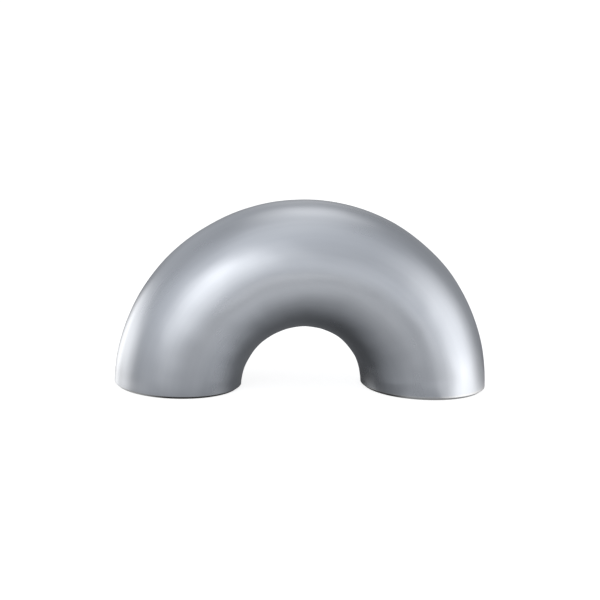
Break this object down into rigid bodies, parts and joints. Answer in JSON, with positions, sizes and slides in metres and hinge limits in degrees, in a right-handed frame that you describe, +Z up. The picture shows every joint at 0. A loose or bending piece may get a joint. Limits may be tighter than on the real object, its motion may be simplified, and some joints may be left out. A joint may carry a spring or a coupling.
{
  "type": "return bend",
  "caption": "Stainless steel tube bent through a half turn, with bevelled butt-weld ends on its parallel legs, for sending a pipe run back alongside itself.",
  "frame": {"origin": "midway between the legs, in the plane of the end faces that the bend stands on", "axes": "+X through the axes of both legs, +Y across the tube, +Z up to the crown of the bend"},
  "size_m": [0.264, 0.089, 0.132],
  "materials": {
    "steel": "satin"
  },
  "bodies": {
    "root": {"return_bend": "steel"}
  },
  "joints": []
}
